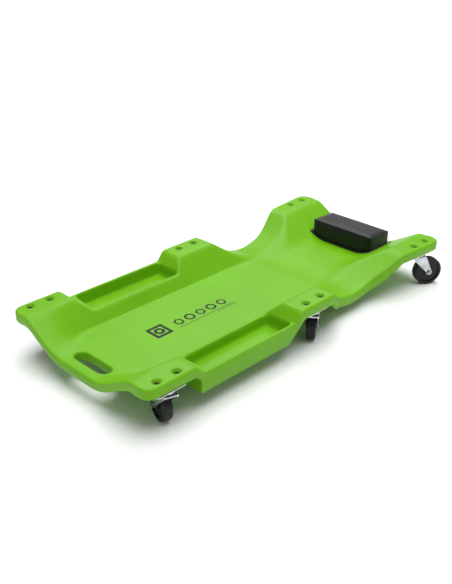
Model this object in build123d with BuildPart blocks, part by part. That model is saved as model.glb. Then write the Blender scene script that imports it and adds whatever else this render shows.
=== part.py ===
from build123d import *
import math
import os

# Mechanics creeper: a blow-moulded one-piece deck on six swivel casters, with a padded headrest.
# Millimetres. +X runs from the foot end (hand slot) to the head end (headrest), +Y across, +Z up.
# The floor is z = 0 and the origin is under the middle of the deck.

# ---- deck: overall ----
deck_length = 1010.0
foot_width = 450.0
head_width = 466.0
corner_radius = 24.0
pad_top = 117.0
pad_thick = 25.0
bed_top = 60.0
skin_thick = 22.0
wall = 3.0
rim_wall = 6.0
blow_hole_radius = 5.0

# ---- deck: shape of its cross-sections (half widths and heights) ----
foot_top = 64.0
curve_start = 45.0
curve_turn = 74.0
curve_end = 105.0
curve_rise = 17.5
pad_inner = 169.0
bed_half = 115.0
panel_start = 60.0
panel_turn = 88.0
ridge_half = 138.0
ridge_width = 6.0
ridge_top = 87.0
side_reach = 250.0

# ---- deck: stations along its length, from the middle ----
foot_pad_end = -380.0
tray_edge_foot = -355.0
tray_edge_mid = -84.0
mid_pad_start = -62.0
mid_pad_end = 58.0
head_pad_start = 347.0
arm_low_x = 190.0
arm_low_top = 55.5
arm_power_mid = 2.0
arm_power_head = 1.7
arm_steps = 5
arm_half = 190.5
arm_side_dip = 3.0
slope_thick = 8.0

# ---- tool trays ----
tray_rim_top = 92.0
tray_bottom = 42.0
tray_floor = 63.0
tray_outer_low = 218.0
tray_outer_high = 223.0
tray_inner_low = 112.0
tray_end_low = -92.0
tray_end_high = -55.0
tray_wall = 11.0
tray_rim = 5.5
tray_lean = 3.0
tray_corner = 9.0

# ---- hand slot ----
slot_x = -461.0
slot_length = 106.0
slot_width = 32.0
slot_guard = 5.0

# ---- caster seats ----
caster_pitch = 442.5
caster_half_track = 207.0
bolt_pitch = 51.3
pocket_radius = 9.0
pocket_depth = 10.0
boss_wall = 4.0
seat_fit = 0.4

# ---- casters ----
wheel_radius = 37.5
wheel_width = 22.0
tread_round = 4.0
hub_width = 25.0
hub_radius = 11.0
web_depth = 3.0
web_rim = 8.0
trail = 31.0
plate_length = 76.0
plate_width = 36.0
plate_thick = 2.5
plate_corner = 7.0
race_radius = 13.0
race_depth = 4.1
race_outer = 17.0
ball_radius = 2.25
ball_count = 12
ball_gap = 1.4
crown_thick = 3.2
crown_length = 40.0
crown_round = 5.0
leg_thick = 2.5
leg_front = 12.0
leg_end_radius = 7.5
leg_rib_width = 3.0
leg_rib_height = 0.8
kingpin_radius = 4.5
kingpin_head_radius = 8.0
kingpin_head = 3.0
bush_radius = 6.0
axle_radius = 3.0
axle_head_flat = 10.0
axle_head = 4.0
axle_nut_thick = 5.0
run_fit = 0.06
side_gap = 0.5

# Way each caster trails at rest, in degrees from +X, for the casters on the -Y side.
foot_trail_angle = 71.0
mid_trail_angle = 36.0
head_trail_angle = -33.0

# ---- mounting bolts ----
bolt_radius = 3.0
bolt_head_flat = 10.0
bolt_head = 4.0
washer_radius = 7.5
washer_thick = 1.2
nut_thick = 4.8
bolt_tip = 0.5

# ---- headrest ----
rest_start = 385.0
rest_length = 88.0
rest_width = 186.0
rest_front_top = 113.0
rest_back_top = 109.0
rest_gap = 0.3
rest_recess = 0.6
rest_margin = 1.0
board_thick = 5.0
cover_thick = 1.2
cover_round = 6.0
rest_screw_x = 48.0
rest_screw_y = 60.0
rest_screw_radius = 2.5
rest_screw_head_radius = 4.5
rest_screw_head = 3.0
rest_washer_radius = 7.0

# ---- derived values ----
half_length = deck_length / 2
pad_under = pad_top - pad_thick
bed_under = bed_top - skin_thick
ridge_outer = ridge_half + ridge_width
plate_under = pad_under - plate_thick
race_under = plate_under - race_depth
ball_height = race_under - ball_gap
crown_top = ball_height - ball_gap
crown_under = crown_top - crown_thick
leg_inner = hub_width / 2 + side_gap
leg_outer = leg_inner + leg_thick
pocket_floor = pad_top - pocket_depth
rest_mid = rest_start + rest_length / 2
rest_low = rest_gap - rest_recess
board_top = rest_low + board_thick
high = 2 * pad_top
seats = {
    "foot": (-caster_pitch, foot_trail_angle),
    "mid": (0.0, mid_trail_angle),
    "head": (caster_pitch, head_trail_angle),
}


def deck_section(x, start, turn, knee, edge, side, drop=0.0, thick=skin_thick, under=pad_thick):
    """Closed cross-section of the deck at x. Each of the last three points is (half width, height)."""
    centre = start[1] - drop
    low = start[1] - thick
    top = [(start[0], centre), (turn, centre)] + [(y, z - drop) for y, z in (knee, edge, side)]
    bottom = [(start[0], low), (turn, low), (knee[0], knee[1] - thick)]
    bottom += [(edge[0], edge[1] - under), (side[0], side[1] - under)]
    with BuildSketch(Plane.YZ.offset(x)) as section:
        with BuildLine():
            for row in (top, bottom):
                Line((-row[0][0], row[0][1]), row[0])
                for sign in (-1, 1):
                    half = [(sign * y, z) for y, z in row]
                    Bezier(half[0], half[1], half[2])
                    Line(half[2], half[3])
                    Line(half[3], half[4])
            for sign in (-1, 1):
                Line((sign * top[4][0], top[4][1]), (sign * bottom[4][0], bottom[4][1]))
        make_face()
    return section.sketch


def arm_edge_top(x):
    """Height of the deck's edge along the arm cut-out between the middle and head pads."""
    if x < arm_low_x:
        part_way = (arm_low_x - x) / (arm_low_x - mid_pad_end)
        return arm_low_top + (pad_top - arm_low_top) * part_way**arm_power_mid
    part_way = (x - arm_low_x) / (head_pad_start - arm_low_x)
    return arm_low_top + (pad_top - arm_low_top) * part_way**arm_power_head


def arm_section(x, inset):
    """Cross-section through the arm cut-out, between the flat panel and the head valley."""
    way = (x - mid_pad_end) / (head_pad_start - mid_pad_end)
    edge_top = arm_edge_top(x)
    steep = math.sin(math.pi * way) ** 2
    knee_top = bed_top + (edge_top - bed_top) * way * curve_rise / (pad_top - bed_top)
    lean = (pad_top - edge_top) / (pad_top - arm_low_top)
    thick = skin_thick + (pad_thick - skin_thick) * (1 - lean)
    thick += slope_thick * 4 * lean * (1 - lean)
    return deck_section(
        x,
        (panel_start + (curve_start - panel_start) * way, bed_top),
        panel_turn + (curve_turn - panel_turn) * way,
        (bed_half + (curve_end - bed_half) * way + steep * skin_thick, knee_top),
        (pad_inner, edge_top + arm_side_dip * lean / 3),
        (side_reach, edge_top - arm_side_dip * lean),
        drop=inset,
        thick=skin_thick - inset,
        under=thick - inset,
    )


def foot_sections(inset, deeper=0.0):
    """Cross-sections from the foot rim to the end of the middle pad, thickened downwards if asked."""
    foot = ((curve_start, foot_top), curve_turn, (curve_end, foot_top + curve_rise))
    panel = ((panel_start, bed_top), panel_turn, (bed_half, bed_top))
    pad = ((pad_inner, pad_top), (side_reach, pad_top))
    tray = ((ridge_half, ridge_top), (side_reach, tray_rim_top))
    rows = (
        (-half_length - corner_radius, foot, pad, pad_thick),
        (foot_pad_end, panel, pad, pad_thick),
        (tray_edge_foot, panel, tray, skin_thick),
        (tray_edge_mid, panel, tray, skin_thick),
        (mid_pad_start, panel, pad, pad_thick),
        (mid_pad_end, panel, pad, pad_thick),
    )
    extra = deeper - inset
    return [
        deck_section(x, *inner, *outer, drop=inset, thick=skin_thick + extra, under=under + extra)
        for x, inner, outer, under in rows
    ]


def head_section(x, inset):
    """Cross-section of the head valley, which is the same along its whole length."""
    return deck_section(
        x,
        (curve_start, bed_top),
        curve_turn,
        (curve_end, bed_top + curve_rise),
        (pad_inner, pad_top),
        (side_reach, pad_top),
        drop=inset,
        thick=skin_thick - inset,
        under=pad_thick - inset,
    )


def outline(inset):
    """Plan of the deck at z = 0, moved in by the inset."""
    end = half_length - inset
    foot_half = foot_width / 2 - inset
    head_half = head_width / 2 - inset
    mid_half = (foot_half + head_half) / 2
    waist_half = arm_half - inset
    mid_end = mid_pad_end - inset
    head_start = head_pad_start + inset
    head_step = head_half - pocket_radius
    with BuildSketch() as plan:
        with BuildLine():
            for sign in (-1, 1):
                Line((-end, 0), (-end, sign * foot_half))
                Line((-end, sign * foot_half), (mid_end, sign * mid_half))
                Spline(
                    (mid_end, sign * mid_half),
                    (mid_end + corner_radius, sign * (mid_half - corner_radius)),
                    ((arm_low_x + mid_end) / 2, sign * (waist_half + 4 * wall / 3)),
                    (arm_low_x, sign * waist_half),
                    ((arm_low_x + head_start) / 2, sign * (waist_half + wall)),
                    (head_start, sign * head_step),
                )
                Line((head_start, sign * head_step), (end, sign * head_half))
                Line((end, sign * head_half), (end, 0))
        make_face()
        corners = plan.vertices().filter_by(lambda v: abs(v.X) > end - 1 and abs(v.Y) > waist_half)
        fillet(corners, radius=corner_radius - inset)
    return plan.sketch


def skin(inset):
    """The deck's skin from end to end, with its faces moved in by the inset."""
    arm_rows = []
    for start, end in ((mid_pad_end, arm_low_x), (arm_low_x, head_pad_start)):
        arm_rows += [start + (end - start) * step / arm_steps for step in range(arm_steps)]
    arm_rows.append(head_pad_start)
    with BuildPart() as form:
        loft(sections=foot_sections(inset), ruled=True)
        loft(sections=[arm_section(x, inset) for x in arm_rows])
        loft(
            sections=[
                head_section(head_pad_start, inset),
                head_section(half_length + corner_radius, inset),
            ],
            ruled=True,
        )
    return form.part


def tray_box():
    """Outer box of one tool tray on the +Y side, filled up to just under the deck's top surface."""
    rows = (
        (tray_bottom, tray_edge_foot - tray_lean, tray_end_low, tray_outer_low),
        (tray_rim_top, tray_edge_foot - 2 * tray_lean, tray_end_high, tray_outer_high),
    )
    with BuildPart() as block:
        for z, left, right, outer in rows:
            with BuildSketch(Plane.XY.offset(z)):
                with Locations(((left + right) / 2, (outer + tray_inner_low) / 2)):
                    RectangleRounded(right - left, outer - tray_inner_low, tray_corner)
        loft(ruled=True)
    with BuildPart() as box:
        loft(sections=foot_sections(wall / 2, 2 * pad_thick), ruled=True)
        add(block.part, mode=Mode.INTERSECT)
    return box.part


def tray_pocket():
    """Space inside one tool tray on the +Y side."""
    rows = (
        (tray_floor, tray_edge_foot + tray_wall + 2 * tray_lean, tray_edge_mid - 2 * tray_lean,
         ridge_outer + 2 * tray_lean, tray_outer_high - tray_rim - 2 * tray_lean),
        (tray_rim_top + tray_rim, tray_edge_foot + tray_wall, tray_edge_mid,
         ridge_outer, tray_outer_high - tray_rim),
    )
    with BuildPart() as form:
        for z, left, right, inner, outer in rows:
            with BuildSketch(Plane.XY.offset(z)):
                with Locations(((left + right) / 2, (outer + inner) / 2)):
                    RectangleRounded(right - left, outer - inner, tray_corner)
        loft(ruled=True)
    return form.part


def rest_form(low, inset):
    """Closed block of the headrest, from the given height above the head valley, moved in by the inset."""
    front = rest_start + inset
    back = rest_start + rest_length - inset
    with BuildPart() as form:
        with BuildSketch(Plane.YZ.offset(front)):
            with BuildLine():
                Line((-curve_start, bed_top + low), (curve_start, bed_top + low))
                for sign in (-1, 1):
                    Bezier(
                        (sign * curve_start, bed_top + low),
                        (sign * curve_turn, bed_top + low),
                        (sign * curve_end, bed_top + low + curve_rise),
                    )
                    Polyline(
                        (sign * curve_end, bed_top + low + curve_rise),
                        (sign * pad_inner, pad_top + low),
                        (sign * side_reach, pad_top + low),
                        (sign * side_reach, high),
                    )
                Line((-side_reach, high), (side_reach, high))
            make_face()
        extrude(amount=back - front)
        with BuildSketch(Plane.XZ):
            with BuildLine():
                Polyline(
                    (front, bed_under),
                    (back, bed_under),
                    (back, rest_back_top - inset),
                    (front, rest_front_top - inset),
                    close=True,
                )
            make_face()
        extrude(amount=rest_width / 2 - inset, both=True, mode=Mode.INTERSECT)
        fillet(form.faces().sort_by(Axis.Z)[-1].edges(), radius=cover_round - inset)
    return form.part


seat_points = [(x, side * caster_half_track) for x, _ in seats.values() for side in (-1, 1)]
bolt_points = [(x + way * bolt_pitch / 2, y) for x, y in seat_points for way in (-1, 1)]
rest_points = [
    (rest_mid + way * rest_screw_x / 2, side * rest_screw_y / 2) for way in (-1, 1) for side in (-1, 1)
]

# Cavity inside the moulded deck. It stops short of the bolt bosses, the hand slot and the trays.
with BuildPart() as cavity:
    add(skin(wall))
    with BuildSketch():
        add(outline(rim_wall))
    extrude(amount=high, mode=Mode.INTERSECT)
    with BuildSketch():
        with Locations(*seat_points):
            SlotCenterToCenter(bolt_pitch, 2 * (pocket_radius + boss_wall))
        with Locations(*rest_points):
            Circle(rest_washer_radius + boss_wall)
        with Locations((slot_x, 0)):
            SlotOverall(slot_length + 2 * slot_guard, slot_width + 2 * slot_guard, rotation=90)
    extrude(amount=high, mode=Mode.SUBTRACT)
    for side in (-1, 1):
        with Locations(((tray_edge_foot + tray_end_high) / 2, side * (ridge_half + side_reach) / 2, 0)):
            Box(
                tray_end_high - tray_edge_foot + 2 * tray_wall,
                side_reach - ridge_half + 2 * tray_lean,
                high,
                align=(Align.CENTER, Align.CENTER, Align.MIN),
                mode=Mode.SUBTRACT,
            )

# ---- deck ----
with BuildPart() as deck:
    add(skin(0))
    with BuildSketch():
        add(outline(0))
    extrude(amount=high, mode=Mode.INTERSECT)
    box = tray_box()
    add(box)
    add(mirror(box, about=Plane.XZ))
    pocket = tray_pocket()
    add(pocket, mode=Mode.SUBTRACT)
    add(mirror(pocket, about=Plane.XZ), mode=Mode.SUBTRACT)
    add(cavity.part, mode=Mode.SUBTRACT)
    with BuildSketch():
        with Locations((slot_x, 0)):
            SlotOverall(slot_length, slot_width, rotation=90)
        with Locations(*bolt_points):
            Circle(bolt_radius + seat_fit)
        with Locations(*rest_points):
            Circle(rest_screw_radius + seat_fit)
    extrude(amount=high, mode=Mode.SUBTRACT)
    with BuildSketch():
        Circle(blow_hole_radius)
    extrude(amount=bed_under + skin_thick / 2, mode=Mode.SUBTRACT)
    with BuildSketch(Plane.XY.offset(pocket_floor)):
        with Locations(*bolt_points):
            Circle(pocket_radius)
    extrude(amount=high, mode=Mode.SUBTRACT)
    with BuildSketch(Plane.XY.offset(pad_under)):
        with Locations(*seat_points):
            Circle(kingpin_head_radius + seat_fit)
    extrude(amount=kingpin_head + seat_fit, mode=Mode.SUBTRACT)
    add(rest_form(-rest_recess, -rest_margin), mode=Mode.SUBTRACT)

# ---- caster: one set about its own swivel axis, trailing towards +X ----
with BuildPart() as plate:
    with BuildSketch(Plane.XY.offset(plate_under)):
        RectangleRounded(plate_length, plate_width, plate_corner)
    extrude(amount=plate_thick)
    with BuildSketch(Plane.XY.offset(race_under)):
        Circle(race_outer)
    extrude(amount=race_depth)
    with BuildSketch():
        Circle(kingpin_radius + run_fit)
        with Locations((-bolt_pitch / 2, 0), (bolt_pitch / 2, 0)):
            Circle(bolt_radius + seat_fit)
    extrude(amount=pad_top, mode=Mode.SUBTRACT)
    with Locations((0, 0, ball_height)):
        Torus(race_radius, ball_radius + run_fit, mode=Mode.SUBTRACT)

with BuildPart() as race_balls:
    with Locations((0, 0, ball_height)):
        with PolarLocations(race_radius, ball_count):
            Sphere(ball_radius)

with BuildPart() as kingpin:
    with BuildSketch(Plane.XY.offset(crown_under - side_gap)):
        Circle(kingpin_radius)
    extrude(amount=pad_under - crown_under + side_gap)
    with BuildSketch(Plane.XY.offset(pad_under)):
        Circle(kingpin_head_radius)
    extrude(amount=kingpin_head)
    with BuildSketch(Plane.XY.offset(crown_under - side_gap - kingpin_head)):
        Circle(kingpin_head_radius)
    extrude(amount=kingpin_head)
    chamfer(kingpin.faces().sort_by(Axis.Z)[0].edges(), length=kingpin_head / 3)

with BuildPart() as fork:
    with BuildSketch(Plane.XY.offset(crown_under)):
        RectangleRounded(crown_length, 2 * leg_outer, crown_round)
        Circle(race_outer)
    extrude(amount=crown_thick)
    for side in (-1, 1):
        with BuildSketch(Plane.XZ.offset(-side * (leg_inner + leg_thick / 2))):
            with BuildLine():
                Polyline(
                    (-crown_length / 2 + crown_round, crown_top),
                    (crown_length / 2 - crown_round, crown_top),
                    (crown_length / 2, crown_under),
                    (trail + leg_end_radius, wheel_radius),
                    (trail - leg_end_radius, wheel_radius),
                    (-leg_front, crown_under - leg_end_radius),
                    (-crown_length / 2, crown_under),
                    close=True,
                )
            make_face()
            with Locations((trail, wheel_radius)):
                Circle(leg_end_radius)
        extrude(amount=leg_thick / 2, both=True)
        with BuildSketch(Plane.XZ.offset(-side * leg_outer)):
            with BuildLine():
                Polyline(
                    (leg_rib_width - crown_round, crown_under),
                    (2 * leg_rib_width - crown_round, crown_under),
                    (trail - leg_rib_width, wheel_radius + leg_end_radius + leg_rib_width),
                    (trail - 2 * leg_rib_width, wheel_radius + leg_end_radius),
                    close=True,
                )
            make_face()
        extrude(amount=-side * leg_rib_height)
    with BuildSketch():
        Circle(kingpin_radius + run_fit)
    extrude(amount=pad_top, mode=Mode.SUBTRACT)
    with BuildSketch(Plane.XZ):
        with Locations((trail, wheel_radius)):
            Circle(axle_radius + run_fit)
    extrude(amount=2 * leg_outer, both=True, mode=Mode.SUBTRACT)
    with Locations((0, 0, ball_height)):
        Torus(race_radius, ball_radius + run_fit, mode=Mode.SUBTRACT)

axle_plane = Plane(origin=(trail, 0, wheel_radius), x_dir=(1, 0, 0), z_dir=(0, -1, 0))

with BuildPart() as wheel:
    with BuildSketch(axle_plane):
        Circle(wheel_radius)
    extrude(amount=wheel_width / 2, both=True)
    fillet(wheel.edges(), radius=tread_round)
    for way in (-1, 1):
        with BuildSketch(axle_plane.offset(way * (wheel_width / 2 - web_depth))):
            Circle(wheel_radius - web_rim)
        extrude(amount=way * 2 * web_depth, mode=Mode.SUBTRACT)
    with BuildSketch(axle_plane):
        Circle(hub_radius)
    extrude(amount=hub_width / 2, both=True)
    with BuildSketch(axle_plane):
        Circle(bush_radius + run_fit)
    extrude(amount=hub_width, both=True, mode=Mode.SUBTRACT)

with BuildPart() as axle_bush:
    with BuildSketch(axle_plane):
        Circle(bush_radius)
        Circle(axle_radius + run_fit, mode=Mode.SUBTRACT)
    extrude(amount=leg_inner - run_fit, both=True)

with BuildPart() as axle_bolt:
    with BuildSketch(axle_plane.offset(-leg_outer - leg_rib_height - axle_nut_thick - bolt_tip)):
        Circle(axle_radius)
    extrude(amount=2 * leg_outer + leg_rib_height + axle_nut_thick + bolt_tip)
    with BuildSketch(axle_plane.offset(leg_outer)):
        RegularPolygon(axle_head_flat / 2, 6, major_radius=False)
    extrude(amount=axle_head)

with BuildPart() as axle_nut:
    with BuildSketch(axle_plane.offset(-leg_outer - axle_nut_thick)):
        RegularPolygon(axle_head_flat / 2, 6, major_radius=False)
        Circle(axle_radius + run_fit, mode=Mode.SUBTRACT)
    extrude(amount=axle_nut_thick)

# ---- mounting bolts, washers and nuts, one group of separate solids each ----
with BuildPart() as mounting_bolts:
    with BuildSketch(Plane.XY.offset(plate_under - nut_thick - bolt_tip)):
        with Locations(*bolt_points):
            Circle(bolt_radius)
    extrude(amount=pocket_floor + washer_thick - plate_under + nut_thick + bolt_tip)
    with BuildSketch(Plane.XY.offset(pocket_floor + washer_thick)):
        with Locations(*bolt_points):
            RegularPolygon(bolt_head_flat / 2, 6, major_radius=False)
    extrude(amount=bolt_head)

with BuildPart() as mounting_washers:
    with BuildSketch(Plane.XY.offset(pocket_floor)):
        with Locations(*bolt_points):
            Circle(washer_radius)
            Circle(bolt_radius + seat_fit, mode=Mode.SUBTRACT)
    extrude(amount=washer_thick)

with BuildPart() as mounting_nuts:
    with BuildSketch(Plane.XY.offset(plate_under - nut_thick)):
        with Locations(*bolt_points):
            RegularPolygon(bolt_head_flat / 2, 6, major_radius=False)
            Circle(bolt_radius + run_fit, mode=Mode.SUBTRACT)
    extrude(amount=nut_thick)


# ---- headrest: base board, foam block, sewn cover, and the screws up through the deck ----
with BuildPart() as headrest_board:
    add(rest_form(rest_low, cover_thick + rest_gap))
    add(rest_form(board_top, -rest_gap), mode=Mode.SUBTRACT)
    with BuildSketch():
        with Locations(*rest_points):
            Circle(rest_screw_radius + run_fit)
    extrude(amount=bed_top + board_top, mode=Mode.SUBTRACT)

with BuildPart() as headrest_foam:
    add(rest_form(board_top + rest_gap, cover_thick + rest_gap))

with BuildPart() as headrest_cover:
    add(rest_form(rest_low, 0))
    add(rest_form(rest_low - rest_gap, cover_thick), mode=Mode.SUBTRACT)

with BuildPart() as headrest_screws:
    with BuildSketch(Plane.XY.offset(bed_under - washer_thick)):
        with Locations(*rest_points):
            Circle(rest_screw_radius)
    extrude(amount=skin_thick + washer_thick + board_top - rest_gap)
    with BuildSketch(Plane.XY.offset(bed_under - washer_thick - rest_screw_head)):
        with Locations(*rest_points):
            Circle(rest_screw_head_radius)
    extrude(amount=rest_screw_head)

with BuildPart() as headrest_washers:
    with BuildSketch(Plane.XY.offset(bed_under - washer_thick)):
        with Locations(*rest_points):
            Circle(rest_washer_radius)
            Circle(rest_screw_radius + run_fit, mode=Mode.SUBTRACT)
    extrude(amount=washer_thick)

# ---- label and write every piece ----
pieces = {
    "deck": deck,
    "mounting_bolts": mounting_bolts,
    "mounting_washers": mounting_washers,
    "mounting_nuts": mounting_nuts,
    "headrest_board": headrest_board,
    "headrest_foam": headrest_foam,
    "headrest_cover": headrest_cover,
    "headrest_screws": headrest_screws,
    "headrest_washers": headrest_washers,
}
caster_pieces = {
    "plate": plate,
    "race_balls": race_balls,
    "kingpin": kingpin,
    "fork": fork,
    "wheel": wheel,
    "axle_bush": axle_bush,
    "axle_bolt": axle_bolt,
    "axle_nut": axle_nut,
}
fixed_to_deck = ("plate", "kingpin")
for row, (x, angle) in seats.items():
    for side_name, side in (("right", -1), ("left", 1)):
        for piece, form in caster_pieces.items():
            turn = 0 if piece in fixed_to_deck else -side * angle
            seat = Plane((x, side * caster_half_track, 0)).rotated((0, 0, turn))
            with BuildPart() as placed:
                with Locations(seat.location):
                    add(form.part)
            pieces[f"{row}_{side_name}_{piece}"] = placed

os.makedirs("parts", exist_ok=True)
for name, piece in pieces.items():
    piece.part.label = name
    export_step(piece.part, f"parts/{name}.step")
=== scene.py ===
import bpy
import bmesh
import math
from mathutils import Matrix, Vector


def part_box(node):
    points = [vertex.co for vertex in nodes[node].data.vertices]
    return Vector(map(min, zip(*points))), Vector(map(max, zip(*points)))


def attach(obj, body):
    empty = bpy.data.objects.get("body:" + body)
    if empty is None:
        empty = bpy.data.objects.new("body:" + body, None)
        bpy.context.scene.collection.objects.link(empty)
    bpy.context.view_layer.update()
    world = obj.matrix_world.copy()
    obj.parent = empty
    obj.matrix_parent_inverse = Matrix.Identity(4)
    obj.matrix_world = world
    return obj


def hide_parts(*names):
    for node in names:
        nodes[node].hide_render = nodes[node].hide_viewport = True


# Mechanics creeper: a blow-moulded deck on six swivel casters, with a vinyl headrest.
# Heights and lengths below are millimetres until they are put into a mesh.
# +X runs to the headrest, +Y across, +Z up, and the floor is z = 0.

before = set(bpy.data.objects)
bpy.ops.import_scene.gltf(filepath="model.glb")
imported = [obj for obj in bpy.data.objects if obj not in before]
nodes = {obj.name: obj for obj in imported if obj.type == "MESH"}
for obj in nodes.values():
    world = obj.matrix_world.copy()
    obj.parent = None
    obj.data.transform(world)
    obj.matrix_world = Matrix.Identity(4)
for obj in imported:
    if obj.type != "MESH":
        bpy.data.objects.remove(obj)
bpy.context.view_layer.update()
MM = 0.001
DECK_BODY = "creeper_deck"
ROWS = ("foot_", "mid_", "head_")


def tenths(metres):
    """A place in the frame in millimetres, to a tenth."""
    return round(metres / MM, 1)


# ---------------------------------------------------------------- sizes taken from the frame
_, deck_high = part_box("deck")
rest_low, rest_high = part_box("headrest_cover")
pins = [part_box(row + "left_kingpin") for row in ROWS]
HALF_LENGTH = tenths(deck_high.x)
PAD_TOP = tenths(deck_high.z)
SEAT_X = tuple(tenths((low.x + high.x) / 2) for low, high in pins)
SEAT_Y = tenths((pins[0][0].y + pins[0][1].y) / 2)

# ---------------------------------------------------------------- deck sizes
# Outline: half widths, the corner radius, and where the arm cut-out turns in and out again.
FOOT_HALF = 225.0
MID_HALF = 229.0
HEAD_HALF = 233.0
ARM_HALF = 190.5
CORNER = 24.0
TRAY_WAIST = 2.0
MID_PAD_END = 58.0
HEAD_PAD_START = 347.0
ARM_START = MID_PAD_END - 10.0
ARM_FIRST_TURN = (51.0, 79.0)
ARM_SECOND_TURN = (86.0, 132.0)
ARM_SECOND_DEPTH = 20.5
ARM_RETURN = (242.0, 372.0)
ARM_RETURN_DEPTH = 33.0
HEAD_FLARE = (361.0, 473.0)

# Pads, dish and the arm cut-out's edge.
PAD_THICK = 25.0
BED_TOP = 60.0
SKIN = 22.0
FOOT_TOP = 64.0
FOOT_PAD_END = -380.0
MID_PAD_START = -62.0
FOOT_DISH = (-490.0, -385.0)
FOOT_FALL = (-505.0, -400.0)
HEAD_DISH = (62.0, 307.0)
FOOT_SLOPE = 0.56
BED_SLOPE = 1.075
HEAD_SLOPE = 0.594
TRAY_SLOPE = 1.16
TRAY_BLEND = 4.0
DISH_TURN = 74.0
BED_TURN = 116.0
DISH_SOFT = 29.0
BED_SOFT = 4.0
ARM_LOW_X = 190.0
ARM_LOW_TOP = 55.5
ARM_POWER_MID = 2.0
ARM_POWER_HEAD = 1.7
ARM_LIFT = 14.0
ARM_LIFT_SPAN = (60.0, 188.0)
ARM_SOFT = 9.0
PAD_SOFT = 7.0
RIM_SOFT = 5.0
CROWN_SOFT = 7.0
CROWN_ARM_SOFT = 22.0
UNDER_ARM_THICK = 32.0

# Mould line beside the flat panel.
GROOVE_HALF = 116.5
GROOVE_WIDTH = 0.9
GROOVE_DEPTH = 0.7
GROOVE_START = (-384.0, -372.0)
GROOVE_END = (46.0, 58.0)

# Tool trays: ridge and rim round them, and the pocket (x from, x to, y from, y to).
TRAY_EDGE_FOOT = -355.0
TRAY_EDGE_MID = -84.0
RIDGE_HALF = 138.0
RIDGE_FLAT = 8.0
RIDGE_TOP = 87.0
RIM_RUN = 65.0
TRAY_RIM = 92.0
TRAY_FLOOR = 63.0
TRAY_BOX = (-339.0, -90.0, 149.0, 213.5)
TRAY_CORNER = 7.0
TRAY_STEEP = 6.0
TRAY_FOOT_SOFT = 0.9
TRAY_LIP_SOFT = 3.0
TRAY_NEAR = (-365.0, -70.0)
TRAY_NEAR_HALF = 140.0
TRAY_BOTTOM = 42.0
TRAY_UNDER_HALF = 100.0
TRAY_UNDER_FOOT = -361.0
TRAY_UNDER_FOOT_SOFT = 2.0
TRAY_UNDER_MID = -92.0
TRAY_UNDER_MID_SLOPE = 1.3
TRAY_UNDER_MID_SOFT = 4.0
TRAY_UNDER_SOFT = 5.0

# Rounded edges, bolt pockets and hand slot.
EDGE_ROUND = 5.0
TRAY_EDGE_ROUND = 3.0
TRAY_EDGE_START = (-362.0, -352.0)
TRAY_EDGE_END = (-86.0, -76.0)
UNDER_ROUND = 4.0
NUDGE = 0.5
SQUARE_END = 1e3
BOLT_HALF = 25.65
POCKET_R = 9.0
POCKET_DEEP = 10.0
POCKET_DRAFT = 0.4
POCKET_LIP = 1.0
POCKET_LIP_REACH = 1.2
POCKET_RINGS = 13.5
SLOT_X = -461.15
SLOT_R = 16.0
SLOT_STRAIGHT = 37.0
SLOT_TOP_ROUND = 3.5
SLOT_UNDER_ROUND = 2.5
SLOT_RINGS = 26.0
SLOT_NEAR_X = -440.0
SLOT_NEAR_HALF = 60.0
SLOT_INSIDE = -0.2
SIDE_LEAN = 0.09
SIDE_LEAN_TOP = 88.0
SIDE_LEAN_FROM = 200.0
SIDE_LEAN_SPAN = (200.0, 222.0)

# Grid lines of the deck's mesh, as spans of (start, end, spacing), close together where the form turns.
FOOT_END_LINES = ((-505, -503.6, 0.7), (-503.6, -500, 1.2), (-500, -480, 4.0))
SLOT_EDGE_LINES = [-480.0, -478.4]
SLOT_LINES = [-455.15, -450.15, -445.15, -443.5, -441.5, -436.0, -431.0]
SEAT_MARGIN = 1.5
SEAT_SPACING = 5.2
TRAY_LINES = ((-386, -372, 3.5), (-372, -336, 1.8), (-336, -94, 6.2), (-94, -60, 2.0), (-60, -36.5, 5.5))
ARM_LINES = ((50, 82, 1.9), (82, 135, 4.4), (135, 320, 6.2), (320, 372, 3.6), (372, 406, 6))
HEAD_END_LINES = ((497, 501.4, 1.5), (501.4, 503.6, 1.1), (503.6, 505, 0.7))
HALF_LINES = ((0, 37, 7.4), (37, 53, 4), (53, 56.5, 1.75), (56.5, 112, 7), (112, 121, 0.9),
              (121, 133, 4), (133, 152, 1.4), (152, 196.5, 5))
POCKET_SIDE_LINES = [198.0, 198.4, 201.0, 204.0, 205.5, 207.0, 208.5, 210.0, 211.5, 213.0]
POCKET_SIDE_LINES += [214.2, 215.6, 216.0]
RIM_LINES = [217.2, 218.4, 219.7, 221.0, 222.4, 223.7, 225.0, 226.3, 227.4, 228.3, MID_HALF]
# After each caster seat: the gap past its last pocket line, the end of the next span and its spacing.
AFTER_SEAT = ((2.0, -386, 6), (1.6, 50, 3.4), (2.0, 497, 4))
AFTER_SEAT_LINES = (TRAY_LINES, ARM_LINES, HEAD_END_LINES)
SPREAD_FROM = 165.0
SPREAD_RIM = 217.0
SPREAD_NARROW = (196.0, 221.0)

# ---------------------------------------------------------------- headrest sizes
# The stuffed cover stands out a little past the plain block of the frame.
REST_FRONT = tenths(rest_low.x) - 2.0
REST_BACK = tenths(rest_high.x) + 1.5
REST_HALF = tenths(rest_high.y) + 5.5
REST_FRONT_TOP = tenths(rest_high.z) + 2.3
REST_FALL = 3.0
REST_BACK_TOP = REST_FRONT_TOP - REST_FALL
PUFF = 2.2
BLOCK_CLEAR = 0.8
BLOCK_CUTS = 15
PILLOW_CLEAR = 0.4
CLOTH_CELL = 4.5
CLOTH_PRESSURE = 4.0
CLOTH_FRAMES = 20
HEM = 3.5
HEM_THICK = 1.4
HEM_CLEAR = 0.3
HEM_CORNER = 5.0
PIPING_RADIUS = 0.95
SEAM_CORNER = 7.0
SEAM_STEP = 4.0
SEAM_DROP = 2.5
SEAM_UP = 0.7
OUTSIDE = 30.0

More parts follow.
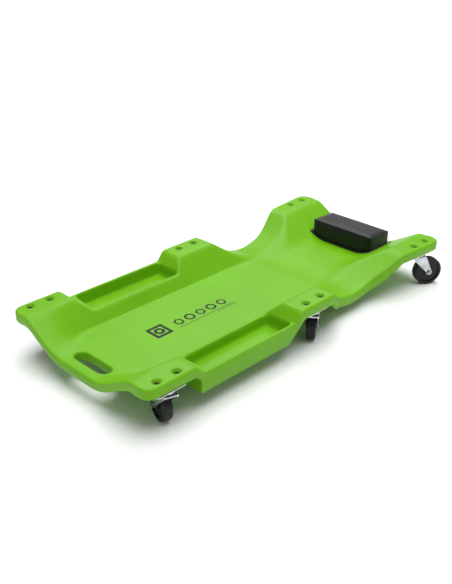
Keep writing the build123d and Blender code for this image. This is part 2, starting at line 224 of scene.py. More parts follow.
# ---------------------------------------------------------------- printed mark
PRINT_TOP = BED_TOP + 0.08
BADGE_X = -275.5
BADGE_Y = 2.0
ROW_START = -216.0
ROW_PITCH = 34.0
ROW_COUNT = 5
ROW_Y = 3.0
ROUND_SIDES = 32
RULE = (-232.0, -56.0, -19.0, -17.2)
TICK_START = -118.0
TICK_PITCH = 4.0
TICK_WIDTH = 1.2
TICK_TOP = -22.0
TICK_COUNT = 16
TICK_SHORT = 3.6
TICK_TALL = 6.0

# ---------------------------------------------------------------- stage, light and camera
# Metres and degrees.
FLOOR_HALF = 25.0
SKY_STRENGTH = 0.36
KEY_ANGLE = 50.0
KEY_TURN = (6.0, 2.0)
KEY_ENERGY = 2.5
BACK_PLACE = (1.3, 1.2, 2.0)
BACK_AIM = (0.2, 0.0, 0.0)
BACK_SIZE = 1.6
BACK_POWER = 26.0
CAMERA_PLACE = (-1.2743, -1.1498, 0.9449)
CAMERA_AZIMUTH = -46.415
CAMERA_ELEVATION = 27.349
CAMERA_TILT = 0.885
CAMERA_LENS = 48.92
CAMERA_SENSOR = 36.0


# ---------------------------------------------------------------- small tools
def new_object(name, bm, material=None, smooth=True, body=DECK_BODY):
    """Turn a finished bmesh into an object of the scene that rides on a body."""
    mesh = bpy.data.meshes.new(name)
    bm.to_mesh(mesh)
    bm.free()
    if smooth:
        mesh.polygons.foreach_set("use_smooth", [True] * len(mesh.polygons))
    obj = bpy.data.objects.new(name, mesh)
    bpy.context.scene.collection.objects.link(obj)
    if material:
        mesh.materials.append(material)
    if body:
        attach(obj, body)
    return obj


def share(low, high, x):
    """0 below low, 1 above high, straight between."""
    return min(max((x - low) / (high - low), 0.0), 1.0)


def step(low, high, x):
    """0 below low, 1 above high, smooth between."""
    t = share(low, high, x)
    return t * t * (3 - 2 * t)


def mix(a, b, t):
    return a + (b - a) * t


def ramp(x, soft):
    """0 for low x, x for high x, with a parabola of half width soft between."""
    if x <= -soft:
        return 0.0
    if x >= soft:
        return x
    return (x + soft) ** 2 / (4 * soft)


def soft_min(a, b, soft):
    h = max(soft - abs(a - b), 0.0) / soft
    return min(a, b) - h * h * soft / 4


def soft_max(a, b, soft):
    return -soft_min(-a, -b, soft)


# ---------------------------------------------------------------- deck form
def plan_half(x):
    """Half width of the deck at x."""
    half = mix(FOOT_HALF, MID_HALF, (x + HALF_LENGTH) / (HALF_LENGTH + MID_PAD_END))
    if x > ARM_START:
        half = ARM_HALF
        half += (MID_HALF - ARM_HALF - ARM_SECOND_DEPTH) * (1 - step(*ARM_FIRST_TURN, x))
        half += ARM_SECOND_DEPTH * (1 - step(*ARM_SECOND_TURN, x))
        half += ARM_RETURN_DEPTH * step(*ARM_RETURN, x)
        half += (HEAD_HALF - ARM_HALF - ARM_RETURN_DEPTH) * share(*HEAD_FLARE, x)
    beside_tray = step(FOOT_PAD_END, TRAY_EDGE_FOOT, x) * (1 - step(TRAY_EDGE_MID, MID_PAD_START, x))
    half -= TRAY_WAIST * beside_tray
    left = HALF_LENGTH - abs(x)
    if left < CORNER:
        half -= CORNER - math.sqrt(max(CORNER**2 - (CORNER - left) ** 2, 0))
    return half


def arm_edge(x):
    """Height of the edge along the arm cut-out, and the pad height beyond it."""
    if x < ARM_LOW_X:
        rise = ((ARM_LOW_X - x) / (ARM_LOW_X - MID_PAD_END)) ** ARM_POWER_MID
    else:
        rise = ((x - ARM_LOW_X) / (HEAD_PAD_START - ARM_LOW_X)) ** ARM_POWER_HEAD
    return ARM_LOW_TOP + (PAD_TOP - ARM_LOW_TOP) * rise


def valley(x, a):
    """The dished part of the deck: flat in the middle, rising towards the sides."""
    to_bed = step(*FOOT_DISH, x)
    to_head = step(*HEAD_DISH, x)
    tray = step(FOOT_PAD_END - TRAY_BLEND, TRAY_EDGE_FOOT, x)
    tray *= 1 - step(TRAY_EDGE_MID, MID_PAD_START + TRAY_BLEND, x)
    floor = mix(FOOT_TOP, BED_TOP, step(*FOOT_FALL, x))
    slope = mix(mix(FOOT_SLOPE, BED_SLOPE, to_bed), HEAD_SLOPE, to_head)
    slope = mix(slope, TRAY_SLOPE, tray)
    turn = mix(mix(DISH_TURN, BED_TURN, to_bed), DISH_TURN, to_head)
    soft = mix(mix(DISH_SOFT, BED_SOFT, to_bed), DISH_SOFT, to_head)
    return floor + slope * ramp(a - turn, soft)


def cap(x, a):
    """The level that the pads, tray rims and arm cut-out hold the dish down to."""
    rim = RIDGE_TOP + max(a - RIDGE_HALF - RIDGE_FLAT, 0) * (TRAY_RIM - RIDGE_TOP) / RIM_RUN
    down = PAD_TOP - (x - FOOT_PAD_END) * (PAD_TOP - TRAY_RIM) / (TRAY_EDGE_FOOT - FOOT_PAD_END)
    up = PAD_TOP + (x - MID_PAD_START) * (PAD_TOP - TRAY_RIM) / (MID_PAD_START - TRAY_EDGE_MID)
    ends = down if x < (TRAY_EDGE_FOOT + TRAY_EDGE_MID) / 2 else up
    pads = soft_min(PAD_TOP, soft_max(rim, ends, RIM_SOFT), PAD_SOFT)
    arm = arm_edge(x) + ARM_LIFT * (1 - step(*ARM_LIFT_SPAN, a))
    return soft_min(pads, arm, ARM_SOFT)


def softness(x):
    """How gently the dish runs into the pads, in mm."""
    return CROWN_SOFT + CROWN_ARM_SOFT * math.sin(math.pi * share(MID_PAD_END, HEAD_PAD_START, x)) ** 2


def crown(x, a):
    """The deck's top without its pockets, slot and rounded edges."""
    return soft_min(valley(x, a), cap(x, a), softness(x))


def panel_groove(x, a):
    """Depth of the thin mould line along each side of the flat panel."""
    along = step(*GROOVE_START, x) * (1 - step(*GROOVE_END, x))
    return GROOVE_DEPTH * along * math.exp(-(((a - GROOVE_HALF) / GROOVE_WIDTH) ** 2))


def rounded_gap(x, a, box, radius):
    """Distance outside a rectangle with rounded corners, negative inside."""
    cx, cy = (box[0] + box[1]) / 2, (box[2] + box[3]) / 2
    dx = abs(x - cx) - (box[1] - box[0]) / 2 + radius
    dy = abs(a - cy) - (box[3] - box[2]) / 2 + radius
    return math.hypot(max(dx, 0), max(dy, 0)) + min(max(dx, dy), 0) - radius


def tray_pocket(x, a):
    """Height of the tool tray's inside: a flat floor with steep drafted walls."""
    gap = rounded_gap(x, a, TRAY_BOX, TRAY_CORNER)
    return TRAY_FLOOR + TRAY_STEEP * ramp(gap, TRAY_FOOT_SOFT)


def roll(distance, radius):
    """Drop of a quarter-round edge at a distance in from the edge."""
    if distance >= radius:
        return 0.0
    return radius - math.sqrt(max(radius**2 - (radius - max(distance, 0.0)) ** 2, 0.0))


def edge_distance(x, a):
    """How far a point is inside the deck's outline."""
    lean = SQUARE_END
    if abs(x) < HALF_LENGTH - NUDGE:
        lean = plan_half(x + NUDGE) - plan_half(x - NUDGE)
    side = (plan_half(x) - a) / math.hypot(1, lean)
    return min(side, HALF_LENGTH - abs(x)) if a < plan_half(x) - CORNER else side


def slot_distance(x, y):
    """How far a point is outside the hand slot, negative inside."""
    dy = max(abs(y) - SLOT_STRAIGHT, 0)
    return math.hypot(x - SLOT_X, dy) - SLOT_R


def near_slot(x, a):
    return x < SLOT_NEAR_X and a < SLOT_NEAR_HALF


def pocket_distance(x, y):
    """How far a point is from the nearest bolt pocket's axis."""
    return min(
        math.hypot(x - seat - way * BOLT_HALF, abs(y) - SEAT_Y) for seat in SEAT_X for way in (-1, 1)
    )


def top_height(x, y):
    """Height of the deck's upper skin."""
    a = abs(y)
    z = crown(x, a) - panel_groove(x, a)
    if TRAY_NEAR[0] < x < TRAY_NEAR[1] and a > TRAY_NEAR_HALF:
        z = soft_min(z, tray_pocket(x, a), TRAY_LIP_SOFT)
    if near_slot(x, a):
        z -= roll(slot_distance(x, y), SLOT_TOP_ROUND)
    beside_tray = step(*TRAY_EDGE_START, x) * (1 - step(*TRAY_EDGE_END, x))
    z -= roll(edge_distance(x, a), mix(EDGE_ROUND, TRAY_EDGE_ROUND, beside_tray))
    gap = pocket_distance(x, y)
    if gap < POCKET_R - POCKET_DRAFT / 2:
        return PAD_TOP - POCKET_DEEP
    if gap < POCKET_R + POCKET_LIP_REACH:
        z -= roll(gap - POCKET_R, POCKET_LIP)
    return z


def under_height(x, y):
    """Height of the deck's lower skin."""
    a = abs(y)
    skin = valley(x, a) - SKIN
    lean = (arm_edge(x) - ARM_LOW_TOP) / (PAD_TOP - ARM_LOW_TOP) if MID_PAD_END < x < HEAD_PAD_START else 1
    pads = cap(x, a) - PAD_THICK - UNDER_ARM_THICK * lean * (1 - lean)
    z = soft_min(skin, pads, softness(x))
    if a > TRAY_UNDER_HALF:
        box = TRAY_BOTTOM + TRAY_STEEP * ramp(TRAY_UNDER_FOOT - x, TRAY_UNDER_FOOT_SOFT)
        box += TRAY_UNDER_MID_SLOPE * ramp(x - TRAY_UNDER_MID, TRAY_UNDER_MID_SOFT)
        z = soft_min(z, box, TRAY_UNDER_SOFT)
    if near_slot(x, a):
        z += roll(slot_distance(x, y), SLOT_UNDER_ROUND)
    return z + roll(edge_distance(x, a), UNDER_ROUND)


# ---------------------------------------------------------------- deck mesh
def lines(*spans):
    """Grid lines from spans of (start, end, spacing), each span divided evenly."""
    out = []
    for start, end, spacing in spans:
        count = max(1, round((end - start) / spacing))
        out += [start + (end - start) * i / count for i in range(count)]
    return out + [spans[-1][1]]


def pocket_lines(centre):
    """Grid lines across one bolt pocket, at its wall's top and foot."""
    near = (-POCKET_R, -POCKET_R + POCKET_DRAFT, -6.0, -3.0)
    return [centre + d for d in near] + [centre] + [centre - d for d in reversed(near)]


def deck_lines_x():
    """Grid lines from the foot end to the head end."""
    out = lines(*FOOT_END_LINES)[:-1] + SLOT_EDGE_LINES
    for row, seat in enumerate(SEAT_X):
        left, right = pocket_lines(seat - BOLT_HALF), pocket_lines(seat + BOLT_HALF)
        between = SLOT_LINES
        if row > 0:
            between = lines((left[-1] + SEAT_MARGIN, right[0] - SEAT_MARGIN, SEAT_SPACING))
        gap, end, spacing = AFTER_SEAT[row]
        out += left + between + right + lines((right[-1] + gap, end, spacing), *AFTER_SEAT_LINES[row])
    return out


def deck_lines_y():
    """Grid lines from side to side, the same on both."""
    half = lines(*HALF_LINES) + POCKET_SIDE_LINES + RIM_LINES
    return [-v for v in reversed(half[1:])] + half


def spread(x, line):
    """Where a lengthwise grid line runs at x, so that the last one follows the outline."""
    a, half = abs(line), plan_half(x)
    if a <= SPREAD_FROM:
        return line
    squeezed = SPREAD_FROM + (a - SPREAD_FROM) * (half - SPREAD_FROM) / (MID_HALF - SPREAD_FROM)
    straight = a
    if a > SPREAD_RIM:
        straight = SPREAD_RIM + (a - SPREAD_RIM) * (half - SPREAD_RIM) / (MID_HALF - SPREAD_RIM)
    return math.copysign(mix(squeezed, straight, share(*SPREAD_NARROW, half)), line)


def round_off(x, y, cx, cy, straight, radius, reach):
    """Bend square rings of grid points about a hole into round ones."""
    dx = x - cx
    dy = max(abs(y - cy) - straight, 0)
    square = max(abs(dx), dy)
    far = math.hypot(dx, dy)
    if square >= reach or far == 0 or dy == 0:
        return x, y
    pull = 1 - step(radius, reach, square)
    scale = mix(1.0, square / far, pull)
    base = y - math.copysign(dy, y - cy)
    return cx + dx * scale, base + math.copysign(dy * scale, y - cy)


def build_deck(material):
    """The one-piece moulding: a grid bent to the outline, with an upper and a lower skin."""
    xs, ys = deck_lines_x(), deck_lines_y()
    bm = bmesh.new()
    bmesh.ops.create_grid(bm, x_segments=len(xs) - 1, y_segments=len(ys) - 1, size=0.5)
    for v in bm.verts:
        x = xs[round((v.co.x + 0.5) * (len(xs) - 1))]
        line = ys[round((v.co.y + 0.5) * (len(ys) - 1))]
        y = spread(x, line)
        x, y = round_off(x, y, SLOT_X, 0.0, SLOT_STRAIGHT, SLOT_R, SLOT_RINGS)
        for seat in SEAT_X:
            for way in (-1, 1):
                side = math.copysign(SEAT_Y, y)
                x, y = round_off(x, y, seat + way * BOLT_HALF, side, 0.0, POCKET_R, POCKET_RINGS)
        v.co = (x, y, 0)
    inside = []
    for face in bm.faces:
        middle = face.calc_center_median()
        if slot_distance(*middle.xy) < SLOT_INSIDE and abs(middle.y) < SLOT_NEAR_HALF:
            inside.append(face)
    bmesh.ops.delete(bm, geom=inside, context="FACES")
    made = bmesh.ops.extrude_face_region(bm, geom=bm.faces[:], use_keep_orig=True)
    upper = {g for g in made["geom"] if isinstance(g, bmesh.types.BMVert)}
    for v in bm.verts:
        x, y = v.co.x, v.co.y
        z = top_height(x, y) if v in upper else under_height(x, y)
        if v not in upper and abs(y) > SIDE_LEAN_FROM:
            y -= math.copysign(SIDE_LEAN * max(0, SIDE_LEAN_TOP - z), y) * step(*SIDE_LEAN_SPAN, abs(y))
        v.co = (x * MM, y * MM, z * MM)
    bmesh.ops.recalc_face_normals(bm, faces=bm.faces[:])
    deck = new_object("deck_moulding", bm, material)
    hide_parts("deck")


# ---------------------------------------------------------------- materials
def linear(hex_colour):
    """An sRGB hex colour as a linear RGBA tuple."""
    out = []
    for i in (0, 2, 4):
        c = int(hex_colour[i : i + 2], 16) / 255
        out.append(c / 12.92 if c <= 0.04045 else ((c + 0.055) / 1.055) ** 2.4)
    return (*out, 1.0)


def add_node(tree, kind, links=None, **settings):
    """Add a node, set its sockets or properties by name, and link sockets to it."""
    node = tree.nodes.new(kind)
    for key, value in settings.items():
        name = key.replace("_", " ")
        socket = next((s for s in node.inputs if s.name.lower() == name.lower()), None)
        if socket is not None:
            socket.default_value = value
        else:
            setattr(node, key, value)
    for target, source in (links or {}).items():
        tree.links.new(source, node.inputs[target])
    return node


def per_metre(size):
    """Texture scale that gives cells of a size in millimetres."""
    return 1.0 / (size * MM)


def new_material(name):
    material = bpy.data.materials.new(name)
    material.use_nodes = True
    tree = material.node_tree
    return material, tree, tree.nodes["Principled BSDF"]


def two_tones(tree, bsdf, factor, dark, light, low=0.0, high=1.0):
    """Base colour that wanders between two close tones."""
    tone = add_node(tree, "ShaderNodeValToRGB", {"Fac": factor})
    tone.color_ramp.elements[0].position = low
    tone.color_ramp.elements[0].color = linear(dark)
    tone.color_ramp.elements[1].position = high
    tone.color_ramp.elements[1].color = linear(light)
    tree.links.new(tone.outputs["Color"], bsdf.inputs["Base Color"])


def uneven_gloss(tree, bsdf, factor, low, high):
    """Roughness that wanders between two values."""
    gloss = add_node(tree, "ShaderNodeMapRange", {"Value": factor}, To_Min=low, To_Max=high)
    tree.links.new(gloss.outputs["Result"], bsdf.inputs["Roughness"])


def relief(tree, bsdf, height, strength, depth):
    """Fine surface relief of a depth in millimetres."""
    bump = add_node(tree, "ShaderNodeBump", {"Height": height}, Strength=strength, Distance=depth * MM)
    tree.links.new(bump.outputs["Normal"], bsdf.inputs["Normal"])


def polyethylene():
    """Blow-moulded polyethylene: waxy satin skin with a fine sandblasted mould grain."""
    material, tree, bsdf = new_material("blow_moulded_polyethylene")
    where = add_node(tree, "ShaderNodeTexCoord").outputs["Object"]
    cloud = add_node(tree, "ShaderNodeTexNoise", {"Vector": where}, Scale=per_metre(110.0), Detail=3.0)
    grain = add_node(tree, "ShaderNodeTexNoise", {"Vector": where}, Scale=per_metre(1.1), Detail=2.0)
    two_tones(tree, bsdf, cloud.outputs["Fac"], "66A805", "6DB008", 0.3, 0.7)
    uneven_gloss(tree, bsdf, cloud.outputs["Fac"], 0.36, 0.46)
    relief(tree, bsdf, grain.outputs["Fac"], 0.12, 0.4)
    bsdf.inputs["Specular IOR Level"].default_value = 0.22
    bsdf.inputs["Subsurface Weight"].default_value = 0.03
    bsdf.inputs["Subsurface Radius"].default_value = (0.004, 0.008, 0.002)
    bsdf.inputs["Subsurface Scale"].default_value = 0.5
    return material


def vinyl():
    """Upholstery vinyl: black coated cloth with a fine pebbled grain that catches light at a low angle."""
    material, tree, bsdf = new_material("pebbled_vinyl")
    where = add_node(tree, "ShaderNodeTexCoord").outputs["Object"]
    pebble = add_node(tree, "ShaderNodeTexVoronoi", {"Vector": where}, Scale=per_metre(1.2))
    cloud = add_node(tree, "ShaderNodeTexNoise", {"Vector": where}, Scale=per_metre(25.0), Detail=3.0)
    two_tones(tree, bsdf, cloud.outputs["Fac"], "0A0A0B", "111113")
    uneven_gloss(tree, bsdf, cloud.outputs["Fac"], 0.34, 0.46)
    relief(tree, bsdf, pebble.outputs["Distance"], 0.25, 0.3)
    bsdf.inputs["Specular IOR Level"].default_value = 0.25
    bsdf.inputs["Sheen Weight"].default_value = 0.35
    bsdf.inputs["Sheen Roughness"].default_value = 0.4
    return material


def metal(name, dark, light, low, high, grain):
    """A plated or polished steel finish: two close tones and a roughness that wanders over the part."""
    material, tree, bsdf = new_material(name)
    where = add_node(tree, "ShaderNodeTexCoord").outputs["Object"]
    patch = add_node(tree, "ShaderNodeTexNoise", {"Vector": where}, Scale=per_metre(grain), Detail=4.0)
    two_tones(tree, bsdf, patch.outputs["Fac"], dark, light, 0.35, 0.65)
    uneven_gloss(tree, bsdf, patch.outputs["Fac"], low, high)
    bsdf.inputs["Metallic"].default_value = 1.0
    return material


def polypropylene(name, dark, light, low, high):
    """Injection-moulded polypropylene: near-black, an oily satin with faint scuffs."""
    material, tree, bsdf = new_material(name)
    where = add_node(tree, "ShaderNodeTexCoord").outputs["Object"]
    scuff = add_node(
        tree, "ShaderNodeTexNoise", {"Vector": where}, Scale=per_metre(8.0), Detail=6.0, Roughness=0.7
    )
    two_tones(tree, bsdf, scuff.outputs["Fac"], dark, light, 0.4, 0.75)
    uneven_gloss(tree, bsdf, scuff.outputs["Fac"], low, high)
    relief(tree, bsdf, scuff.outputs["Fac"], 0.08, 0.3)
    bsdf.inputs["Specular IOR Level"].default_value = 0.35
    return material


def printing_ink():
    """Screen-printed ink: thin, matt and dark grey, with slightly uneven cover."""
    material, tree, bsdf = new_material("screen_ink")
    where = add_node(tree, "ShaderNodeTexCoord").outputs["Object"]
    cover = add_node(tree, "ShaderNodeTexNoise", {"Vector": where}, Scale=per_metre(3.3), Detail=2.0)
    two_tones(tree, bsdf, cover.outputs["Fac"], "1E241C", "2A3127")
    bsdf.inputs["Roughness"].default_value = 0.6
    bsdf.inputs["Specular IOR Level"].default_value = 0.2
    return material


def paint_nodes():
    """Give every carried-over CAD node its finish."""
    # Bright plate on the pressed parts gives the silver flashes beside the black wheels.
    zinc = metal("bright_zinc_plate", "A9ACAE", "CDD0D2", 0.24, 0.4, 16.0)
    # Duller plate sets the turned fasteners off from the pressings.
    fastener = metal("zinc_fastener", "85888B", "A9ABAD", 0.3, 0.45, 11.0)
    # Near-black steel on the mounting bolts and washers is partly painted shade: its dark colour stands in
    # for the shade deep in the bolt pockets, so the pockets read dark.
    dark_fastener_for_pocket_shade = metal("near_black_fastener_painted_shade", "1C1C1D", "29292A", 0.42, 0.55, 11.0)
    # Polished balls under grease: dark, with sharp small highlights.
    ball = metal("greased_bearing_steel", "6E6C68", "A5A4A0", 0.12, 0.3, 5.0)
    # The wheels are nearly black with a soft sheen on the tread.
    black = polypropylene("black_polypropylene", "080908", "0E0F0E", 0.4, 0.52)
    # The headrest's hidden board is a flatter, greyer black.
    board = polypropylene("board_polypropylene", "161616", "202020", 0.5, 0.6)
    # The mounting bolts and washers take the near-black finish, which is painted shade for the bolt
    # pockets.
    finish = {"plate": zinc, "fork": zinc, "wheel": black, "race_balls": ball,
              "mounting_bolts": dark_fastener_for_pocket_shade, "mounting_washers": dark_fastener_for_pocket_shade, "headrest_board": board}
    for name, node in nodes.items():
        kind = name.split("_", 2)[2] if name.startswith(ROWS) else name
        node.data.materials.clear()
        node.data.materials.append(finish.get(kind, fastener))


# ---------------------------------------------------------------- headrest pillow
def apply_modifiers(obj):
    shaped = bpy.data.meshes.new_from_object(obj.evaluated_get(bpy.context.evaluated_depsgraph_get()))
    obj.modifiers.clear()
    old = obj.data
    obj.data = shaped
    bpy.data.meshes.remove(old)


def pillow_block():
    """The cut foam block: flat top that falls to the back, underside fitted to the dish of the deck."""
    bm = bmesh.new()
    bmesh.ops.create_cube(bm, size=1.0)
    bmesh.ops.subdivide_edges(bm, edges=bm.edges[:], cuts=BLOCK_CUTS, use_grid_fill=True)
    for v in bm.verts:
        along, up = v.co.x + 0.5, v.co.z + 0.5
        x = mix(REST_FRONT + PUFF, REST_BACK - PUFF, along)
        y = 2 * v.co.y * (REST_HALF - PUFF)
        low = crown(x, abs(y)) + BLOCK_CLEAR
        high = mix(REST_FRONT_TOP, REST_BACK_TOP, along) - PUFF
        v.co = (x * MM, y * MM, mix(low, high, up) * MM)
    return bm


def blow_up(obj):
    """Let the cover swell under pressure for a few frames, with no weight on it."""
    cloth = obj.modifiers.new("cloth", "CLOTH")
    cloth.settings.use_pressure = True
    cloth.settings.uniform_pressure_force = CLOTH_PRESSURE
    cloth.settings.effector_weights.gravity = 0.0
    cloth.point_cache.frame_start, cloth.point_cache.frame_end = 1, CLOTH_FRAMES
    for number in range(1, CLOTH_FRAMES + 1):
        bpy.context.scene.frame_set(number)
    apply_modifiers(obj)
    bpy.context.scene.frame_set(1)


def stuffed(obj):
    """Swell the block as its filling would, a few millimetres at most, clear of the deck."""
    remesh = obj.modifiers.new("remesh", "REMESH")
    remesh.mode = "VOXEL"
    remesh.voxel_size = CLOTH_CELL * MM
    apply_modifiers(obj)
    start = [(v.co.copy(), v.normal.copy()) for v in obj.data.vertices]
    blow_up(obj)
    for v, (was, outward) in zip(obj.data.vertices, start):
        rise = (v.co - was).dot(outward)
        v.co = was + outward * min(max(rise, 0.0), PUFF * MM)
        floor = (crown(v.co.x / MM, abs(v.co.y / MM)) + PILLOW_CLEAR) * MM
        v.co.z = max(v.co.z, floor)
    smooth = obj.modifiers.new("smooth", "SMOOTH")
    smooth.factor, smooth.iterations = 0.4, 1
    subdivide = obj.modifiers.new("subdivide", "SUBSURF")
    subdivide.levels = subdivide.render_levels = 1
    apply_modifiers(obj)


def piping(name, points, material):
    """A round closed cord of piping along points in millimetres."""
    curve = bpy.data.curves.new(name, "CURVE")
    curve.dimensions = "3D"
    curve.bevel_depth = PIPING_RADIUS * MM
    curve.bevel_resolution = 2
    spline = curve.splines.new("POLY")
    spline.points.add(len(points) - 1)
    for p, at in zip(spline.points, points):
        p.co = (*(c * MM for c in at), 1)
    spline.use_cyclic_u = True
    made = bpy.data.objects.new(name + "_curve", curve)
    bpy.context.scene.collection.objects.link(made)
    mesh = bpy.data.meshes.new_from_object(made.evaluated_get(bpy.context.evaluated_depsgraph_get()))
    bpy.data.objects.remove(made)
    obj = bpy.data.objects.new(name, mesh)
    bpy.context.scene.collection.objects.link(obj)
    mesh.materials.clear()
    mesh.materials.append(material)
    mesh.polygons.foreach_set("use_smooth", [True] * len(mesh.polygons))
    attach(obj, DECK_BODY)


def on_pillow(pillow, point, out):
    """The pillow's surface along a line that comes in to a point from outside."""
    start = Vector(point) * MM + Vector(out) * OUTSIDE * MM
    hit, place, _, _ = pillow.ray_cast(start, -Vector(out))
    return place / MM if hit else Vector(point)


def round_path(corners, radius, spacing):
    """Points round a closed outline with rounded corners and evenly divided sides."""
    path = []
    for i, corner in enumerate(corners):
        before, after = Vector(corners[i - 1]), Vector(corners[(i + 1) % len(corners)])
        here = Vector(corner)
        enter = here + (before - here).normalized() * radius
        leave = here + (after - here).normalized() * radius
        for k in range(5):
            t = k / 4
            path.append(enter * (1 - t) ** 2 + here * 2 * t * (1 - t) + leave * t**2)
        far = after + (here - after).normalized() * radius
        count = int((far - leave).length / spacing)
        path += [leave.lerp(far, k / count) for k in range(1, count)]
    return path


def build_piping(pillow, cover):
    """The piping on the seam round the pillow's top."""
    front, back, side = REST_FRONT + PUFF, REST_BACK - PUFF, REST_HALF - PUFF
    path = round_path([(front, -side), (back, -side), (back, side), (front, side)], SEAM_CORNER, SEAM_STEP)
    middle = Vector(((REST_FRONT + REST_BACK) / 2, 0))
    seam = []
    for p in path:
        away = (p - middle).normalized()
        top = mix(REST_FRONT_TOP, REST_BACK_TOP, (p.x - REST_FRONT) / (REST_BACK - REST_FRONT))
        out = Vector((away.x * SEAM_UP, away.y * SEAM_UP, SEAM_UP)).normalized()
        seam.append(on_pillow(pillow, (p.x, p.y, top - SEAM_DROP), out))
    piping("headrest_piping", [tuple(p) for p in seam], cover)


def upright_corner(edge):
    """True for the hem's four short upright edges, where two sides meet."""
    if edge.calc_length() >= 2 * HEM_THICK * MM or len(edge.link_faces) != 2:
        return False
    return all(abs(f.normal.z) < 0.5 for f in edge.link_faces) and edge.calc_face_angle(0) > 1


def build_flange(cover):
    """The cover's turned-out hem: a thin flat border that lies on the deck round the pillow."""
    bm = bmesh.new()
    bmesh.ops.create_grid(bm, x_segments=12, y_segments=40, size=0.5)
    made = bmesh.ops.extrude_face_region(bm, geom=bm.faces[:], use_keep_orig=True)
    upper = {g for g in made["geom"] if isinstance(g, bmesh.types.BMVert)}
    for v in bm.verts:
        x = mix(REST_FRONT - HEM, REST_BACK + HEM, v.co.x + 0.5)
        y = 2 * v.co.y * (REST_HALF + HEM)
        z = crown(x, abs(y)) + (HEM_THICK + HEM_CLEAR if v in upper else HEM_CLEAR)
        v.co = (x * MM, y * MM, z * MM)
    corners = [e for e in bm.edges if upright_corner(e)]
    bmesh.ops.bevel(
        bm, geom=corners, offset=HEM_CORNER * MM, affect="EDGES", segments=4, profile=0.5, material=-1
    )
    bmesh.ops.recalc_face_normals(bm, faces=bm.faces[:])
    hem = new_object("headrest_hem", bm, cover, smooth=False)


def build_pillow(cover):
    """The stuffed pillow with its piping and its hem."""
    pillow = new_object("headrest_pillow", pillow_block(), cover)
    stuffed(pillow)
    pillow.data.polygons.foreach_set("use_smooth", [True] * len(pillow.data.polygons))
    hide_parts("headrest_cover", "headrest_foam")
    bpy.context.view_layer.update()
    build_piping(pillow, cover)
    build_flange(cover)


# ---------------------------------------------------------------- printed mark on the bed
def ink_ring(bm, sides, outer, inner, cx, cy, turn=0.0):
    """A flat ring with that many sides."""
    place = Matrix.Translation((cx * MM, cy * MM, PRINT_TOP * MM)) @ Matrix.Rotation(turn, 4, "Z")
    loops = []
    for radius in (outer, inner):
        made = bmesh.ops.create_circle(bm, segments=sides, radius=radius * MM, matrix=place)
        loops += list({e for v in made["verts"] for e in v.link_edges})
    bmesh.ops.bridge_loops(bm, edges=loops)


def ink_bar(bm, x0, x1, y0, y1):
    """A flat bar between two corners."""
    place = Matrix.Translation(((x0 + x1) / 2 * MM, (y0 + y1) / 2 * MM, PRINT_TOP * MM))
    place = place @ Matrix.Diagonal(((x1 - x0) * MM, (y1 - y0) * MM, 1, 1))
    bmesh.ops.create_grid(bm, x_segments=1, y_segments=1, size=0.5, matrix=place)


def build_print(ink):
    """A workshop mark: a nut in a square, a row of nuts and washers, a rule line and its ticks."""
    bm = bmesh.new()
    ink_ring(bm, sides=4, outer=32.5, inner=21.5, cx=BADGE_X, cy=BADGE_Y, turn=math.radians(45))
    ink_ring(bm, sides=6, outer=14.0, inner=6.0, cx=BADGE_X, cy=BADGE_Y, turn=math.radians(30))
    for i in range(ROW_COUNT):
        sides = 6 if i % 2 == 0 else ROUND_SIDES
        ink_ring(bm, sides, outer=13.5, inner=8.2, cx=ROW_START + ROW_PITCH * i, cy=ROW_Y)
    ink_bar(bm, *RULE)
    for i in range(TICK_COUNT):
        tall = TICK_TALL if i % 5 == 0 else TICK_SHORT
        left = TICK_START + TICK_PITCH * i
        ink_bar(bm, left, left + TICK_WIDTH, TICK_TOP - tall, TICK_TOP)
    bmesh.ops.recalc_face_normals(bm, faces=bm.faces[:])
    for f in bm.faces:
        if f.normal.z < 0:
            f.normal_flip()
    mark = new_object("bed_print", bm, ink, smooth=False)


# ---------------------------------------------------------------- stage, light and camera
def stage_floor():
    """A plain pale floor."""
    bm = bmesh.new()
    bmesh.ops.create_grid(bm, x_segments=1, y_segments=1, size=FLOOR_HALF)
    floor = new_object("stage_floor", bm, body=None)
    material, _, bsdf = new_material("pale_floor")
    bsdf.inputs["Base Color"].default_value = linear("F6F6F6")
    bsdf.inputs["Roughness"].default_value = 0.9
    floor.data.materials.append(material)


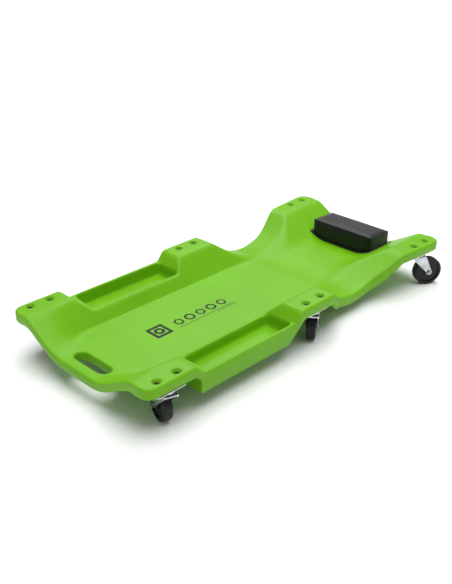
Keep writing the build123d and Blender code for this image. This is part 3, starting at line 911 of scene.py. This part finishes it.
def overhead_light():
    """A broad soft light from overhead, a little to the near side."""
    data = bpy.data.lights.new("key_light", "SUN")
    data.angle = math.radians(KEY_ANGLE)
    data.energy = KEY_ENERGY
    lamp = bpy.data.objects.new("key_light", data)
    lamp.rotation_euler = (math.radians(KEY_TURN[0]), math.radians(KEY_TURN[1]), 0)
    bpy.context.scene.collection.objects.link(lamp)


def back_light():
    """A square soft box behind the headrest, which draws the pads' edges and the pillow's top."""
    data = bpy.data.lights.new("back_light", "AREA")
    data.shape = "SQUARE"
    data.size = BACK_SIZE
    data.energy = BACK_POWER
    lamp = bpy.data.objects.new("back_light", data)
    lamp.location = BACK_PLACE
    lamp.rotation_mode = "QUATERNION"
    lamp.rotation_quaternion = (Vector(BACK_AIM) - Vector(BACK_PLACE)).to_track_quat("-Z", "Y")
    bpy.context.scene.collection.objects.link(lamp)


def studio_sky():
    """Even white fill light from all round."""
    world = bpy.data.worlds.new("studio")
    bpy.context.scene.world = world
    world.use_nodes = True
    world.node_tree.nodes["Background"].inputs["Color"].default_value = (1, 1, 1, 1)
    world.node_tree.nodes["Background"].inputs["Strength"].default_value = SKY_STRENGTH


def camera():
    """A camera off the near foot corner, looking down along the deck."""
    azimuth, elevation = math.radians(CAMERA_AZIMUTH), math.radians(CAMERA_ELEVATION)
    tilt = math.radians(CAMERA_TILT)
    back = Vector((math.sin(azimuth) * math.cos(elevation), -math.cos(azimuth) * math.cos(elevation),
                   math.sin(elevation)))
    across = Vector((math.cos(azimuth), math.sin(azimuth), 0))
    upward = back.cross(across)
    right = across * math.cos(tilt) + upward * math.sin(tilt)
    up = upward * math.cos(tilt) - across * math.sin(tilt)
    data = bpy.data.cameras.new("camera")
    data.lens = CAMERA_LENS
    data.sensor_width = CAMERA_SENSOR
    cam = bpy.data.objects.new("camera", data)
    turn = Matrix((right, up, back)).transposed()
    cam.matrix_world = Matrix.Translation(CAMERA_PLACE) @ turn.to_4x4()
    bpy.context.scene.collection.objects.link(cam)
    bpy.context.scene.camera = cam


paint_nodes()
build_deck(polyethylene())
build_pillow(vinyl())
build_print(printing_ink())
stage_floor()
overhead_light()
back_light()
studio_sky()
camera()
bpy.context.scene.view_settings.view_transform = "Standard"
